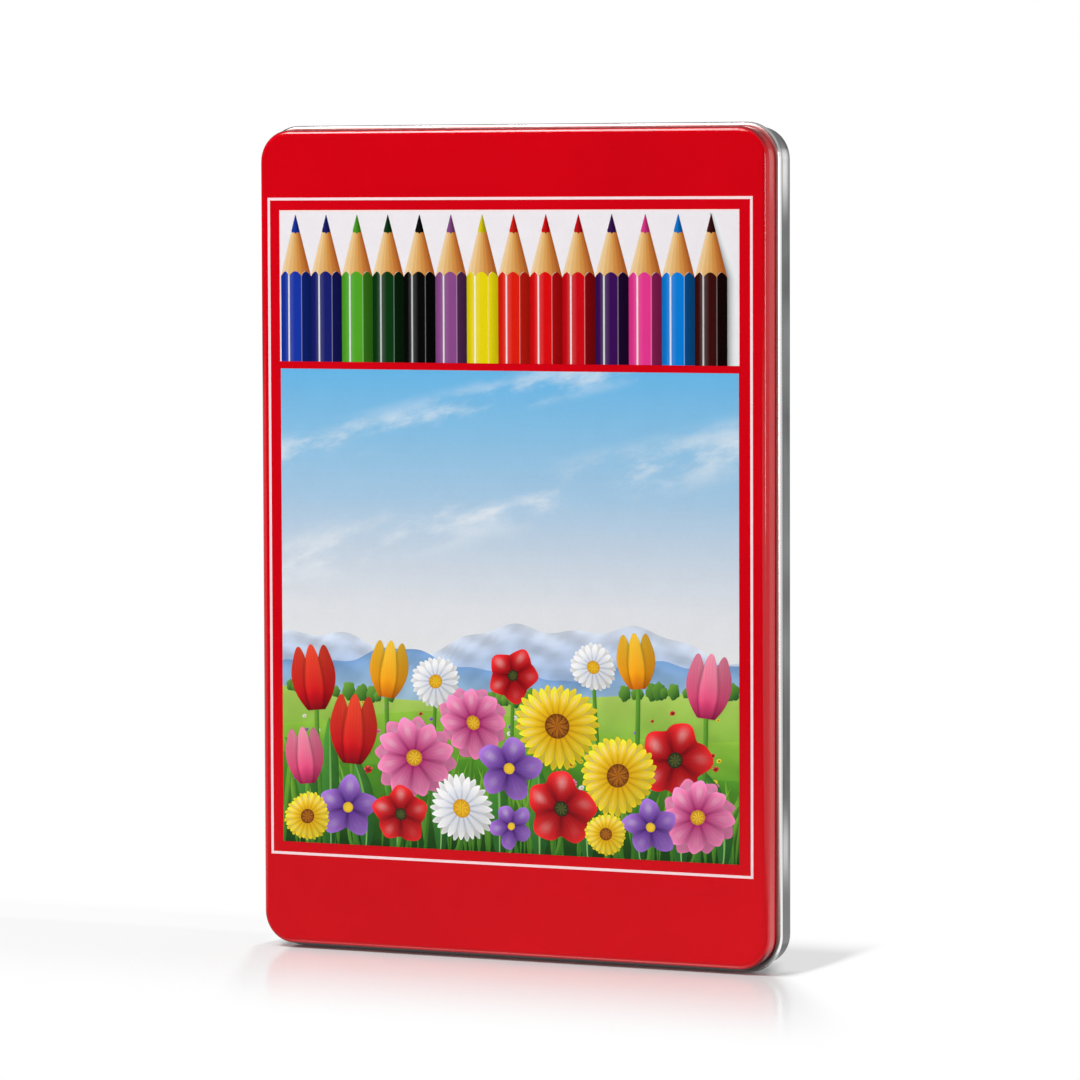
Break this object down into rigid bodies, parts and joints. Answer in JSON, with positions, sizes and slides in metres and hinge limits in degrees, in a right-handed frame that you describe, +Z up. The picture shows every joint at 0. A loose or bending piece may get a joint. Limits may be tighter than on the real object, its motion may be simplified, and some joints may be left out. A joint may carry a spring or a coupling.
{
  "type": "coloured pencil tin",
  "caption": "Flat hinged sheet-steel tin with a red lacquered lid, a bare steel base and a formed tray holding one row of sharpened coloured pencils.",
  "frame": {"origin": "bottom centre of the bounding box, with the closed tin standing on its short side as pictured", "axes": "+Z up along the pencils towards their points, -Y out of the lid's printed face, +X away from the hinge side"},
  "size_m": [0.1296, 0.0136, 0.188],
  "materials": {
    "bare_steel": "satin",
    "red_lacquer": "gloss",
    "white_foam": "matte",
    "tray_plastic": "satin",
    "pin_wire": "satin",
    "casing_dark_blue": "gloss",
    "core_dark_blue": "satin",
    "casing_light_blue": "gloss",
    "core_light_blue": "satin",
    "casing_light_green": "gloss",
    "core_light_green": "satin",
    "casing_dark_green": "gloss",
    "core_dark_green": "satin",
    "casing_black": "gloss",
    "core_black": "satin",
    "casing_lilac": "gloss",
    "core_lilac": "satin",
    "casing_yellow": "gloss",
    "core_yellow": "satin",
    "casing_orange": "gloss",
    "core_orange": "satin",
    "casing_red": "gloss",
    "core_red": "satin",
    "casing_pink": "gloss",
    "core_pink": "satin",
    "casing_violet": "gloss",
    "core_violet": "satin",
    "casing_brown": "gloss",
    "core_brown": "satin"
  },
  "bodies": {
    "base": {"base_shell": "bare_steel", "pencil_tray": "tray_plastic", "hinge_pin_lower": "pin_wire", "hinge_pin_upper": "pin_wire", "pencil_01_casing": "casing_dark_blue", "pencil_01_core": "core_dark_blue", "pencil_02_casing": "casing_light_blue", "pencil_02_core": "core_light_blue", "pencil_03_casing": "casing_light_green", "pencil_03_core": "core_light_green", "pencil_04_casing": "casing_dark_green", "pencil_04_core": "core_dark_green", "pencil_05_casing": "casing_black", "pencil_05_core": "core_black", "pencil_06_casing": "casing_lilac", "pencil_06_core": "core_lilac", "pencil_07_casing": "casing_yellow", "pencil_07_core": "core_yellow", "pencil_08_casing": "casing_orange", "pencil_08_core": "core_orange", "pencil_09_casing": "casing_red", "pencil_09_core": "core_red", "pencil_10_casing": "casing_pink", "pencil_10_core": "core_pink", "pencil_11_casing": "casing_violet", "pencil_11_core": "core_violet", "pencil_12_casing": "casing_brown", "pencil_12_core": "core_brown"},
    "lid": {"lid_shell": "red_lacquer", "lid_liner": "white_foam"}
  },
  "joints": [
    {"name": "lid_hinge", "type": "hinge", "parent": "base", "child": "lid", "pos_m": [-0.06383, -0.0009, 0.094], "axis": [0, 0, -1], "range_deg": [0, 180]}
  ]
}
